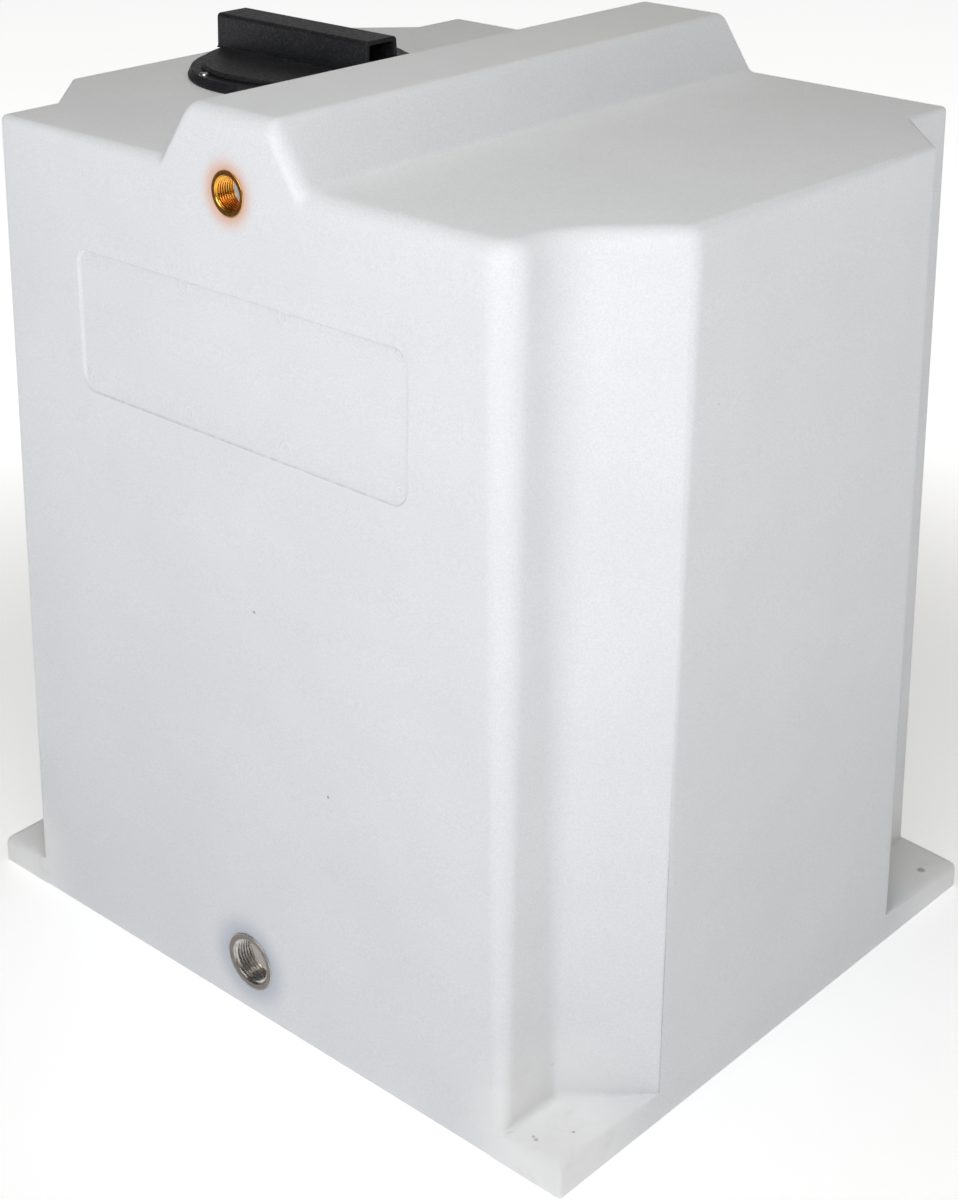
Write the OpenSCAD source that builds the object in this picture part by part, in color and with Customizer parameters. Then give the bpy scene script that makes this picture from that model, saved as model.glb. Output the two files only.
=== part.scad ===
// Upright polyethylene feed and expansion tank with a screw lid.
// Millimetres. Origin at the centre of the base, +Z up, the threaded face towards -Y.

/* [Tank] */
// Width of the base flange, left to right
base_w = 560; // [540:5:620]
// Depth of the base flange, front to back
base_d = 464; // [440:4:520]
// Thickness of the base flange
flange_t = 23; // [18:1:28]
// Corner radius of the base flange
flange_r = 3; // [2:1:16]
// Height of the two flat shoulders above the floor
shoulder_h = 584; // [560:2:640]
// Rise of the central ridge above the shoulders
ridge_rise = 36; // [34:1:44]
// Width of the flat top of the ridge
ridge_top_w = 71; // [66:1:80]
// Width of the ridge where it meets the shoulders
ridge_foot_w = 121; // [116:1:130]
// Moulded wall thickness
wall = 6; // [5:0.5:7]

/* [Corner recesses] */
// Distance from the flange side to the recess wall, at the flange
recess_x = 47.5; // [40:0.5:52]
// Distance from the flange front to the inner corner, at the flange
recess_y = 49; // [42:0.5:54]
// Distance from the flange front to the outer end of the diagonal, at the flange
recess_end = 98; // [90:1:110]

/* [Draft, base to shoulder] */
// Inward lean of the left and right faces
side_draft = 13.5; // [8:0.5:16]
// Inward lean of the front and back faces
front_draft = 16.8; // [10:0.2:20]
// Inward lean of the recess walls, left to right
recess_draft_x = 15.5; // [10:0.5:18]
// Inward move of the recess corners, front to back
recess_draft_y = 13; // [8:0.5:16]

/* [Name panel] */
// Width of the shallow blank panel on the front
panel_w = 292; // [200:2:320]
// Height of the panel
panel_h = 95; // [60:1:110]
// Height of the panel's centre above the floor
panel_z = 465; // [380:1:480]
// Depth of the panel
panel_depth = 1.4; // [0.4:0.1:1.5]
// Corner radius of the panel
panel_r = 11; // [4:1:16]

/* [Threaded inserts] */
// Height of the upper insert's axis
upper_z = 572.5; // [568:0.5:576]
// Outer radius of the upper insert
upper_r = 13.7; // [12.5:0.1:15]
// Bore radius of the upper insert: G 1/2 minor radius
upper_bore_r = 9.315; // [9.2:0.005:9.5]
// Length of the upper insert
upper_len = 15; // [14:1:26]
// Height of the lower insert's axis
lower_z = 40.5; // [38:0.5:46]
// Outer radius of the lower insert
lower_r = 21.25; // [20:0.25:23]
// Bore radius of the lower insert: G 1 minor radius
lower_bore_r = 15.145; // [15:0.005:15.5]
// Length of the lower insert
lower_len = 17; // [16:1:32]

/* [Neck ring and lid] */
// Distance of the lid's centre left of the tank's centre
lid_offset = 160; // [152:1:162]
// Radius of the filling hole in the shoulder
mouth_r = 67; // [66.5:0.5:68]
// Outer radius of the neck ring at its base
ring_r = 81; // [81:0.5:84]
// Thickness of the neck ring's flange
ring_t = 5.1; // [5:0.1:6]
// Inner radius of the neck ring, at its thread
ring_bore_r = 62; // [61.5:0.25:62.5]
// Number of screws round the neck ring
screw_count = 5; // [4:1:8]
// Radius of the screw circle
screw_circle_r = 75.5; // [75:0.1:76.5]
// Angle of the first screw, from +X
screw_start = -108; // [-120:1:-90]
// Radius of the lid's disc
lid_r = 71.5; // [70:0.5:71.5]
// Half length of the handle bar
handle_half = 73.8; // [60:0.2:76]
// Width of the handle bar at its foot
handle_w = 30.4; // [26:0.2:32]
// Height of the handle bar above the disc
handle_h = 22.8; // [20:0.2:26]
// Wall thickness of the handle bar
handle_wall = 3; // [2.5:0.25:4]

/* [Hidden] */
$fn = 96;
half_w = base_w / 2;
half_d = base_d / 2;
ridge_h = shoulder_h + ridge_rise;
body_rise = shoulder_h - flange_t;
ridge_slope = (ridge_foot_w - ridge_top_w) / 2 / ridge_rise;
// horizontal thickness of the ridge's sloping sides
ridge_side_t = wall * sqrt(1 + ridge_slope * ridge_slope);
draft_angle = atan(front_draft / body_rise);
boss_wall = 6.5;
groove_depth = 1.5;
// where the keying groove starts and ends, as shares of the insert's length
groove_start = 0.3;
groove_ramp = 0.06;
gasket_t = 1.5;
gasket_r = 80.5;
// the ring's flange lies on the gasket
ring_z = shoulder_h + gasket_t;
ring_top_z = ring_z + ring_t;
// how far the ring's outer side leans in at the top
ring_lean = 2.5;
ring_top_r = ring_r - ring_lean;
skirt_gap = 1;
skirt_len = 20;
seat_r = 66;
seat_depth = 2.4;
body_gap = 0.3;
disc_z = ring_top_z + body_gap;
disc_t = 3.8;
disc_edge = 1.6;
lid_skirt_r = ring_bore_r - body_gap;
lid_skirt_wall = 4;
lid_skirt_len = 22;
screw_r = 1.75;
screw_clear_r = 2;
screw_len = 16;
head_r = 3.45;
head_h = 2.1;
// the cross recess in a screw head: its arms and how much of the head stays below it
cross_len = 3.6;
cross_w = 0.6;
cross_floor = 0.4;
// the straight rim of a screw head and its flat top, as shares of its height and radius
head_rim = 0.45;
head_flat = 0.72;
handle_top_inset = 1;
overlap = 1;

// How far the faces have leaned in at height z, as a share of the full draft.
function lean(z) = (z - flange_t) / body_rise;

// Y of the front face at height z.
function front_y(z) = -half_d + front_draft * lean(z);

// Outline of the body at height z, inset by t: twelve corners, anticlockwise.
function body_outline(z, t) =
    let(
        sx = side_draft * lean(z),
        nx = recess_x + recess_draft_x * lean(z),
        ny = recess_y + recess_draft_y * lean(z),
        slope = (recess_end - recess_y) / recess_x,
        nc = ny + (nx - sx) * slope,
        shift = t * (sqrt(1 + slope * slope) - slope),
        side = half_w - sx - t,
        notch = half_w - nx - t,
        front = half_d - front_draft * lean(z) - t,
        inner = half_d - ny - shift,
        outer = half_d - nc - shift
    )
    [
        [notch, -front], [notch, -inner], [side, -outer],
        [side, outer], [notch, inner], [notch, front],
        [-notch, front], [-notch, inner], [-side, outer],
        [-side, -outer], [-notch, -inner], [-notch, -front]
    ];

function rectangle(hx, hy) = [[hx, -hy], [hx, hy], [-hx, hy], [-hx, -hy]];

// The body's outline as convex pieces: the front strip, the middle and the back strip.
BODY_CAPS = [[11, 0, 1, 10], [10, 1, 2, 3, 4, 7, 8, 9], [7, 4, 5, 6]];

// Solid between an outline at z0 and one with as many corners at z1.
// caps splits the outline into convex pieces, as lists of its corners.
module loft(low, z0, high, z1, caps) {
    n = len(low);
    polyhedron(
        points = concat([for (p = low) [p[0], p[1], z0]], [for (p = high) [p[0], p[1], z1]]),
        faces = concat(
            caps,
            [for (cap = caps) [for (i = [len(cap) - 1 : -1 : 0]) n + cap[i]]],
            [for (i = [0 : n - 1]) [i, n + i, n + (i + 1) % n, (i + 1) % n]]
        )
    );
}

module body_loft(t, z0, z1) {
    loft(body_outline(z0, t), z0, body_outline(z1, t), z1, BODY_CAPS);
}

module rounded_plate(w, d, r, h) {
    translate([-w / 2 + r, -d / 2, 0]) cube([w - 2 * r, d, h]);
    translate([-w / 2, -d / 2 + r, 0]) cube([w, d - 2 * r, h]);
    for (x = [-1, 1], y = [-1, 1])
        translate([x * (w / 2 - r), y * (d / 2 - r), 0]) cylinder(r = r, h = h);
}

// Turns a shape drawn along +Z so that it runs from the front face along +Y.
module from_front(y, z) {
    translate([0, y, z]) rotate([-90, 0, 0]) children();
}

module at_screws() {
    for (i = [0 : screw_count - 1])
        rotate([0, 0, screw_start + i * 360 / screw_count])
            translate([screw_circle_r, 0, 0]) children();
}

// Outside of a moulded-in insert: a barrel with one keying groove.
module insert_barrel(r, length) {
    top = groove_start * length;
    floor_top = (groove_start + groove_ramp) * length;
    rotate_extrude()
        polygon([
            [0, 0], [r, 0], [r, top], [r - groove_depth, floor_top],
            [r - groove_depth, length - floor_top], [r, length - top], [r, length], [0, length]
        ]);
}

module insert(r, bore_r, length) {
    difference() {
        insert_barrel(r, length);
        translate([0, 0, -overlap]) cylinder(r = bore_r, h = length + 2 * overlap);
    }
}

module ridge_loft(t, z0, z1) {
    loft(
        rectangle(ridge_half(z0) - (t > 0 ? ridge_side_t : 0), -front_y(z0) - t), z0,
        rectangle(ridge_half(z1) - (t > 0 ? ridge_side_t : 0), -front_y(z1) - t), z1,
        [[0, 1, 2, 3]]
    );
}

function ridge_half(z) = ridge_top_w / 2 + (ridge_h - z) * ridge_slope;

// The water space: the body and the ridge, one wall thickness inside.
module cavity() {
    top = shoulder_h - wall;
    body_loft(wall, wall, top);
    ridge_loft(wall, top - overlap, ridge_h - wall);
}

module insert_boss(r, length, z) {
    from_front(front_y(z) + wall / 2, z) cylinder(r = r + boss_wall, h = length - wall / 2);
}

module name_panel() {
    translate([0, front_y(panel_z), panel_z])
        rotate([90 - draft_angle, 0, 0])
            translate([0, 0, -panel_depth])
                rounded_plate(panel_w, panel_h, panel_r, 2 * panel_depth);
}

module tank_shell() {
    color("whitesmoke") difference() {
        union() {
            difference() {
                union() {
                    rounded_plate(base_w, base_d, flange_r, flange_t);
                    body_loft(0, flange_t, shoulder_h);
                    ridge_loft(0, shoulder_h, ridge_h);
                }
                cavity();
                name_panel();
            }
            insert_boss(upper_r, upper_len, upper_z);
            insert_boss(lower_r, lower_len, lower_z);
        }
        from_front(front_y(upper_z), upper_z) insert_barrel(upper_r, upper_len);
        from_front(front_y(upper_z) - overlap, upper_z) cylinder(r = upper_r, h = overlap);
        from_front(front_y(lower_z), lower_z) insert_barrel(lower_r, lower_len);
        from_front(front_y(lower_z) - overlap, lower_z) cylinder(r = lower_r, h = overlap);
        translate([-lid_offset, 0, shoulder_h - 2 * wall]) cylinder(r = mouth_r, h = 3 * wall);
        translate([-lid_offset, 0, shoulder_h - 2 * wall]) at_screws()
            cylinder(r = screw_r, h = 3 * wall);
    }
}

module upper_insert() {
    color("goldenrod") from_front(front_y(upper_z), upper_z)
        insert(upper_r, upper_bore_r, upper_len);
}

module lower_insert() {
    color("silver") from_front(front_y(lower_z), lower_z)
        insert(lower_r, lower_bore_r, lower_len);
}

module neck_gasket() {
    color("dimgray") translate([-lid_offset, 0, shoulder_h]) difference() {
        cylinder(r = gasket_r, h = gasket_t);
        translate([0, 0, -overlap]) cylinder(r = mouth_r, h = gasket_t + 2 * overlap);
        translate([0, 0, -overlap]) at_screws()
            cylinder(r = screw_clear_r, h = gasket_t + 2 * overlap);
    }
}

module neck_ring() {
    skirt_r = mouth_r - skirt_gap;
    color("black") translate([-lid_offset, 0, ring_z]) difference() {
        rotate_extrude()
            polygon([
                [ring_bore_r, -skirt_len], [skirt_r, -skirt_len], [skirt_r, 0],
                [ring_r, 0], [ring_top_r, ring_t], [seat_r, ring_t],
                [seat_r, ring_t - seat_depth], [ring_bore_r, ring_t - seat_depth]
            ]);
        translate([0, 0, -overlap]) at_screws()
            cylinder(r = screw_clear_r, h = ring_t + 2 * overlap);
    }
}

module ring_screws() {
    color("lightgray") translate([-lid_offset, 0, ring_top_z]) at_screws()
        difference() {
            union() {
                translate([0, 0, -screw_len]) cylinder(r = screw_r, h = screw_len + overlap);
                rotate_extrude()
                    polygon([[0, 0], [head_r, 0], [head_r, head_h * head_rim],
                             [head_r * head_flat, head_h], [0, head_h]]);
            }
            for (turn = [0, 90])
                rotate([0, 0, turn])
                    translate([-cross_len / 2, -cross_w / 2, head_h * cross_floor])
                        cube([cross_len, cross_w, head_h]);
        }
}

module lid_seal() {
    inner = lid_skirt_r + body_gap;
    color("dimgray") translate([-lid_offset, 0, ring_top_z - seat_depth + body_gap])
        rotate_extrude()
            translate([inner, 0]) square([seat_r - body_gap - inner, seat_depth - body_gap]);
}

module lid() {
    color("black") translate([-lid_offset, 0, disc_z]) {
        rotate_extrude()
            polygon([
                [0, 0], [lid_skirt_r - lid_skirt_wall, 0],
                [lid_skirt_r - lid_skirt_wall, -lid_skirt_len], [lid_skirt_r, -lid_skirt_len],
                [lid_skirt_r, 0], [lid_r, 0], [lid_r, disc_t - disc_edge],
                [lid_r - disc_edge, disc_t], [0, disc_t]
            ]);
        // the hollow bar handle, open at both ends
        translate([-handle_half, 0, disc_t])
            rotate([90, 0, 90])
                linear_extrude(height = 2 * handle_half) handle_section();
    }
}

module handle_section() {
    foot = handle_w / 2;
    top = foot - handle_top_inset;
    difference() {
        polygon([[-foot, 0], [foot, 0], [top, handle_h], [-top, handle_h]]);
        polygon([
            [-foot + handle_wall, -overlap], [foot - handle_wall, -overlap],
            [top - handle_wall, handle_h - handle_wall], [-top + handle_wall, handle_h - handle_wall]
        ]);
    }
}

tank_shell();
upper_insert();
lower_insert();
neck_gasket();
neck_ring();
ring_screws();
lid_seal();
lid();
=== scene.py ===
"""Looks for the polyethylene tank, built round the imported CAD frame. Lengths are in metres."""

import math

import bmesh
import bpy
from mathutils import Matrix, Vector


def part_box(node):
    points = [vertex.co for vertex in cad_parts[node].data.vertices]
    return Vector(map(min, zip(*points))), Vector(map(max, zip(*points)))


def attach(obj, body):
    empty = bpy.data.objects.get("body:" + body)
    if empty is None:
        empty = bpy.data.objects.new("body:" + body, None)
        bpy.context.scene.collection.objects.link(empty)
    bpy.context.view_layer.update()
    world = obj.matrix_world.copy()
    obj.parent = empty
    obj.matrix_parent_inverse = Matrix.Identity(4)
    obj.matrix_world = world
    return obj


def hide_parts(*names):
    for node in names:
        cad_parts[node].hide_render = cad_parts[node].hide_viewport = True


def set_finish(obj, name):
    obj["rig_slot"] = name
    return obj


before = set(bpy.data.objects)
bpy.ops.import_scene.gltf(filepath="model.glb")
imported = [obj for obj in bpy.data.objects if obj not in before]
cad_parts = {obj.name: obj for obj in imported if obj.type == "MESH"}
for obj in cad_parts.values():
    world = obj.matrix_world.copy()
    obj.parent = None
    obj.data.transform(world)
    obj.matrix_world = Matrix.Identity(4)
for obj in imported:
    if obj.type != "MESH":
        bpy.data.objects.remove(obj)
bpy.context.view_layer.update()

MM = 0.001


# ------------ camera
CAMERA_AT = Vector((0.9052, -0.9964, 0.8985))
CAMERA_TARGET = Vector((0, 0.00192, 0.2319))
CAMERA_ROLL = math.radians(0.132)
CAMERA_LENS = 62.806


def add_camera():
    data = bpy.data.cameras.new("camera")
    data.sensor_width = 36
    data.sensor_fit = "AUTO"
    data.lens = CAMERA_LENS
    data.clip_start, data.clip_end = 0.05, 60
    cam = bpy.data.objects.new("camera", data)
    bpy.context.scene.collection.objects.link(cam)
    aim = (CAMERA_TARGET - CAMERA_AT).to_track_quat("-Z", "Y").to_matrix().to_4x4()
    cam.matrix_world = Matrix.Translation(CAMERA_AT) @ aim @ Matrix.Rotation(CAMERA_ROLL, 4, "Z")
    bpy.context.scene.camera = cam


add_camera()


# sizes from the frame
SHELL_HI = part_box("tank_shell")[1]
HALF_W, HALF_D = SHELL_HI.x, SHELL_HI.y
RIDGE_TOP = SHELL_HI.z
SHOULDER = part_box("neck_gasket")[0].z
UPPER_LO, UPPER_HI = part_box("upper_insert")
LOWER_LO, LOWER_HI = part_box("lower_insert")
RING_LO, RING_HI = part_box("neck_ring")
LID_LO, LID_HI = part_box("lid")
NECK_X = (RING_LO.x + RING_HI.x) / 2

# the shell's form
FLANGE_T = 23 * MM
FLANGE_R = 3 * MM
WALL = 6 * MM
RIDGE_TOP_HALF = 35.5 * MM
RIDGE_FOOT_HALF = 60.5 * MM
SIDE_DRAFT, FRONT_DRAFT = 13.5 * MM, 16.8 * MM
RECESS_X, RECESS_Y, RECESS_END = 47.5 * MM, 49 * MM, 98 * MM
RECESS_DRAFT_X, RECESS_DRAFT_Y = 15.5 * MM, 13 * MM
RIDGE_SLOPE = (RIDGE_FOOT_HALF - RIDGE_TOP_HALF) / (RIDGE_TOP - SHOULDER)
# rounds of the top edge, of the ridge's foot and crown, of the base plate and inside the bottom
RIM_NEAR, RIM_SMALL, RIM_BACK = 12 * MM, 4 * MM, 3 * MM
RIDGE_FOOT_R, RIDGE_CROWN_R = 8 * MM, 9 * MM
COVE_R, PLATE_R, BOTTOM_R, INSIDE_R = 5 * MM, 8 * MM, 1.5 * MM, 8 * MM
LEAST_R = 1.2 * MM
# the part of a creased corner's turn that is a crisp crease; its round takes the rest
CREASE = math.radians(12)
# steps in a corner's round, the rim, a round at the foot, and rows up the wall
ARC_STEPS, RIM_STEPS, FOOT_STEPS, WALL_ROWS = 8, 7, 5, 18

# the body's corners, counted from the near right one of the front face towards the back
CORNERS = 12
FRONT_CORNERS, INNER_CORNERS = (0, 5, 6, 11), (1, 4, 7, 10)
NEAR_FRONT, NEAR_INNER, NEAR_CREASED = 0, 1, 2
CREASED_START, CREASED_END = (2, 8), (3, 9)


def smooth(t):
    """0 below 0, 1 above 1, and an even S between."""
    t = min(max(t, 0.0), 1.0)
    return t * t * (3 - 2 * t)


def lerp(a, b, t):
    return a + (b - a) * t


def outline(z, inset):
    """The body's twelve corners at height z, moved in by inset."""
    k = z / SHOULDER
    sx = SIDE_DRAFT * k
    nx, ny = RECESS_X + RECESS_DRAFT_X * k, RECESS_Y + RECESS_DRAFT_Y * k
    slope = (RECESS_END - RECESS_Y) / RECESS_X
    nc = ny + (nx - sx) * slope
    shift = inset * (math.sqrt(1 + slope * slope) - slope)
    side, notch = HALF_W - sx - inset, HALF_W - nx - inset
    front = HALF_D - FRONT_DRAFT * k - inset
    inner, outer = HALF_D - ny - shift, HALF_D - nc - shift
    quarter = [(notch, front), (notch, inner), (side, outer)]
    pts = [(x, -y) for x, y in quarter] + [(x, y) for x, y in quarter[::-1]]
    return [Vector(p) for p in pts] + [Vector((-x, -y)) for x, y in pts]


def corner_radius(i, z, inset):
    """Corner i's round. Those of the near right recess grow most with height; the others stay small."""
    u = z / SHOULDER
    if i == NEAR_FRONT:
        r = (9 + 10 * u) * MM - inset
    elif i == NEAR_INNER:
        r = (8 + 40 * u) * MM + inset
    elif i == NEAR_CREASED:
        r = (2 + 14 * u * u) * MM - inset
    elif i in INNER_CORNERS:
        r = (3 + 3 * u) * MM + inset
    else:
        r = 4 * MM - inset
    return max(r, LEAST_R)


def fillet(before, corner, after, radius):
    """Points of a round that runs smoothly from one side into the next."""
    a, b = (before - corner).normalized(), (after - corner).normalized()
    half = a.angle(b) / 2
    centre = corner + (a + b).normalized() * (radius / math.sin(half))
    reach = radius / math.tan(half)
    va, vb = corner + a * reach - centre, corner + b * reach - centre
    turn = math.pi - 2 * half
    out = []
    for k in range(ARC_STEPS + 1):
        t = k / ARC_STEPS
        w0, w1 = math.sin((1 - t) * turn), math.sin(t * turn)
        out.append(centre + (va * w0 + vb * w1) / math.sin(turn))
    return out


def creased(before, corner, after, radius):
    """A round that starts with a crease on the first side and ends smoothly on the second."""
    a, b = (before - corner).normalized(), (after - corner).normalized()
    turn = math.pi - a.angle(b)
    sweep = turn - CREASE
    inward = (a - b * a.dot(b)).normalized()
    reach = radius * math.sin(sweep) - radius * (1 - math.cos(sweep)) / math.tan(turn)
    centre = corner + b * reach + inward * radius
    out = []
    for k in range(ARC_STEPS + 1):
        s = sweep * (1 - k / ARC_STEPS)
        out.append(centre - inward * (radius * math.cos(s)) - b * (radius * math.sin(s)))
    return out


def column_point(i, k, z, inset):
    """Column k of corner i's round at height z, moved in by inset."""
    pts = outline(z, inset)
    before, corner, after = pts[i - 1], pts[i], pts[(i + 1) % CORNERS]
    r = corner_radius(i, z, inset)
    if i in CREASED_START:
        return creased(before, corner, after, r)[k]
    if i in CREASED_END:
        return creased(after, corner, before, r)[::-1][k]
    return fillet(before, corner, after, r)[k]


def plate_point(i, k, z, inset, body):
    """Where column k of corner i meets the outline of the base plate."""
    u = z / SHOULDER
    hx, hy = HALF_W - SIDE_DRAFT * u - inset, HALF_D - FRONT_DRAFT * u - inset
    sx, sy = (1 if body.x > 0 else -1), (1 if body.y > 0 else -1)
    if i in FRONT_CORNERS:
        return Vector((body.x, sy * hy))
    if i not in INNER_CORNERS:
        return Vector((sx * hx, body.y))
    start = {1: -90, 4: 0, 7: 90, 10: 180}[i]
    a = math.radians(start + 90 * k / ARC_STEPS)
    r = max(FLANGE_R - inset, LEAST_R / 2)
    cx, cy = sx * (hx - r), sy * (hy - r)
    return Vector((cx + r * math.cos(a), cy + r * math.sin(a)))


def top_profile(inset):
    """The top as seen from the front: (x, z) from the shoulder on the left to that on the right."""
    side = inset * math.sqrt(1 + RIDGE_SLOPE ** 2)
    z0, z1 = SHOULDER - inset, RIDGE_TOP - inset
    foot = RIDGE_TOP_HALF + (RIDGE_TOP - z0) * RIDGE_SLOPE - side
    crown = RIDGE_TOP_HALF + (RIDGE_TOP - z1) * RIDGE_SLOPE - side
    far = Vector((2 * foot, z0))
    low, high = Vector((foot, z0)), Vector((crown, z1))
    r_foot, r_crown = RIDGE_FOOT_R + inset, max(RIDGE_CROWN_R - inset, 3 * MM)
    half = fillet(Vector((0, z1)), high, low, r_crown) + fillet(high, low, far, r_foot)
    return [Vector((-p.x, p.y)) for p in half[::-1]] + half


def rim_radius(x, y, inset):
    """Round of the top edge: large at the near right corner, small to the left and the back."""
    front = lerp(RIM_SMALL, RIM_NEAR, smooth((x + 0.23) / 0.3))
    r = lerp(front, RIM_BACK, smooth((y + 0.215) / 0.3))
    return max(r - inset, 2 * MM)


def quarter_round(r):
    """Pairs along a quarter round: the first falls from r to 0 and the second climbs from 0 to r."""
    for j in range(FOOT_STEPS + 1):
        a = math.pi / 2 * j / FOOT_STEPS
        yield r * (1 - math.sin(a)), r * (1 - math.cos(a))


class Surface:
    """One closed skin of the shell: the outside, or the inside at one wall thickness."""

    def __init__(self, bm, inset):
        self.bm, self.inset = bm, inset
        self.painted_line_shade = bm.verts.layers.float["painted_line_shade"]
        self.profile = top_profile(inset)
        self.columns = []
        for i in range(CORNERS):
            for k in range(ARC_STEPS + 1):
                self.columns.append(self.side_column(i, k))
        self.front = self.rim_columns(-1)
        self.back = self.rim_columns(1)

    def vert(self, p, z):
        return self.bm.verts.new((p.x, p.y, z))

    def rim(self, top, radius):
        """(height, inward move) pairs round the rim, from the top down to the wall."""
        for k in range(RIM_STEPS + 1):
            a = math.pi / 2 * (1 - k / RIM_STEPS)
            yield top - radius * (1 - math.sin(a)), radius * (1 - math.cos(a))

    def side_column(self, i, k):
        """One column of the sides, from the rim down to the bottom."""
        t = self.inset
        top = SHOULDER - t
        at_top = column_point(i, k, top, t)
        r = rim_radius(at_top.x, at_top.y, t)
        rows = [self.vert(column_point(i, k, z, t + d), z) for z, d in self.rim(top, r)]
        if t == 0:
            at = column_point(i, k, FLANGE_T, 0)
            room = (plate_point(i, k, FLANGE_T, 0, at) - at).length
            cove, edge = min(COVE_R, 0.42 * room), min(PLATE_R, 0.42 * room)
            low = FLANGE_T + cove
        else:
            low = t + INSIDE_R
        for j in range(1, WALL_ROWS):
            z = lerp(top - r, low, j / WALL_ROWS)
            rows.append(self.vert(column_point(i, k, z, t), z))
        if t == 0:
            rows += self.foot_rows(i, k, cove, edge)
        else:
            for rise, reach in quarter_round(INSIDE_R):
                z = t + rise
                rows.append(self.vert(column_point(i, k, z, t + reach), z))
        return rows

    def foot_rows(self, i, k, cove, edge):
        """The cove above the base plate, the round of its upper edge and that of its lower edge."""
        rows = []
        for rise, reach in quarter_round(cove):
            z = FLANGE_T + rise
            rows.append(self.vert(column_point(i, k, z, -reach), z))
        body = column_point(i, k, FLANGE_T, 0)
        for reach, drop in quarter_round(edge):
            z = FLANGE_T - drop
            rows.append(self.vert(plate_point(i, k, z, reach, body), z))
        for z, reach in quarter_round(BOTTOM_R):
            rows.append(self.vert(plate_point(i, k, z, reach, body), z))
        return rows

    def rim_columns(self, sign):
        """Rows of the rim over the front (sign -1) or back face, one column for each profile point."""
        t = self.inset
        out = []
        for p in self.profile:
            z_top = p.y
            y_top = HALF_D - FRONT_DRAFT * z_top / SHOULDER - t
            r = rim_radius(p.x, sign * y_top, t)
            rows = []
            for z, d in self.rim(z_top, r):
                y = HALF_D - FRONT_DRAFT * z / SHOULDER - t - d
                rows.append(self.bm.verts.new((p.x, sign * y, z)))
            out.append(rows)
        return out

    def face(self, *verts):
        """A face, without the corners that fall together."""
        seen = []
        for v in verts:
            if not any((v.co - s.co).length < 1e-7 for s in seen):
                seen.append(v)
        if len(seen) > 2:
            self.bm.faces.new(seen)

    def strip(self, a, b):
        for j in range(len(a) - 1):
            self.face(a[j], a[j + 1], b[j + 1], b[j])

    def build(self, front_holes, shoulder_holes):
        """The skin's faces. The front face lies between the last column and the first."""
        cols = self.columns
        half = len(cols) // 2
        for k in range(len(cols) - 1):
            if k != half - 1:
                self.strip(cols[k], cols[k + 1])
        rim_n = RIM_STEPS + 1
        for row, first, last, holes in ((self.front, cols[-1], cols[0], front_holes),
                                        (self.back, cols[half], cols[half - 1], [])):
            chain = [first[:rim_n]] + row + [last[:rim_n]]
            for a, b in zip(chain, chain[1:]):
                self.strip(a, b)
            loop = [c[rim_n - 1] for c in chain] + last[rim_n:] + first[rim_n:][::-1]
            self.plane(loop, holes)
        for a, b, c, d in zip(self.front, self.front[1:], self.back[1:], self.back):
            self.face(a[0], b[0], c[0], d[0])
        right = [c[0] for c in cols[:half]] + [self.back[-1][0], self.front[-1][0]]
        left = [c[0] for c in cols[half:]] + [self.front[0][0], self.back[0][0]]
        self.plane(right, [])
        self.plane(left, shoulder_holes)
        self.plane([c[-1] for c in cols], [])

    def bead(self, first):
        """The thin parting line of the mould, a bead that carries painted shade: up the crease of one corner,
        along the edge of the top and down the crease of the next corner."""
        n = ARC_STEPS + 1
        top, foot = RIM_STEPS // 2, 2 * (FOOT_STEPS + 1)
        up = self.columns[first * n][top:-foot][::-1]
        down = self.columns[(first + 2) * n - 1][top:-foot]
        over = [self.columns[first * n + k][top] for k in range(1, 2 * n - 1)]
        tube(self.bm, [v.co.copy() for v in up + over + down], LINE_R, self.painted_line_shade)

    def plane(self, loop, holes):
        """A flat face with holes. Each hole is a loop of vertices."""
        clean = []
        for v in loop:
            if not clean or (v.co - clean[-1].co).length > 1e-6:
                clean.append(v)
        if (clean[0].co - clean[-1].co).length < 1e-6:
            clean.pop()
        edges = []
        for ring in [clean] + holes:
            for a, b in zip(ring, ring[1:] + ring[:1]):
                edges.append(self.bm.edges.get((a, b)) or self.bm.edges.new((a, b)))
        made = bmesh.ops.triangle_fill(self.bm, use_beauty=True, use_dissolve=False, edges=edges)
        assert made["geom"], "a flat face of the shell wasn't filled"


def tube(bm, path, radius, painted_line_shade):
    """A closed six-sided tube along a path, a little uneven, and thinner higher up, where the painted shade
    it carries is fainter too.
    """
    rings = []
    for k, p in enumerate(path):
        along = (path[min(k + 1, len(path) - 1)] - path[max(k - 1, 0)]).normalized()
        side = along.cross(Vector((0.31, 0.17, 0.93))).normalized()
        up = along.cross(side)
        shown = lerp(1.0, LINE_FADED, smooth((p.z - 0.12) / 0.2))
        thick = radius * shown * (1 + 0.3 * math.sin(2.7 * k))
        ring = []
        for j in range(6):
            a = math.pi * j / 3
            v = bm.verts.new(p + side * (thick * math.cos(a)) + up * (thick * math.sin(a)))
            v[painted_line_shade] = shown * (0.75 + 0.25 * math.sin(1.9 * k))
            ring.append(v)
        rings.append(ring)
    for a, b in zip(rings, rings[1:]):
        bridge(bm, a, b)
    bm.faces.new(rings[0])
    bm.faces.new(rings[-1])


def front_y(z, inset=0.0):
    """Where the front face is at height z."""
    return -(HALF_D - FRONT_DRAFT * z / SHOULDER - inset)


def circle_xz(x, z, radius, steps, inset=0.0, y=None):
    """A circle in the front face, or in a plane of one y."""
    out = []
    for k in range(steps):
        a = 2 * math.pi * k / steps
        px, pz = x + radius * math.cos(a), z + radius * math.sin(a)
        out.append(Vector((px, front_y(pz, inset) if y is None else y, pz)))
    return out


def circle_xy(x, y, z, radius, steps):
    out = []
    for k in range(steps):
        a = 2 * math.pi * k / steps
        out.append(Vector((x + radius * math.cos(a), y + radius * math.sin(a), z)))
    return out


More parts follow.
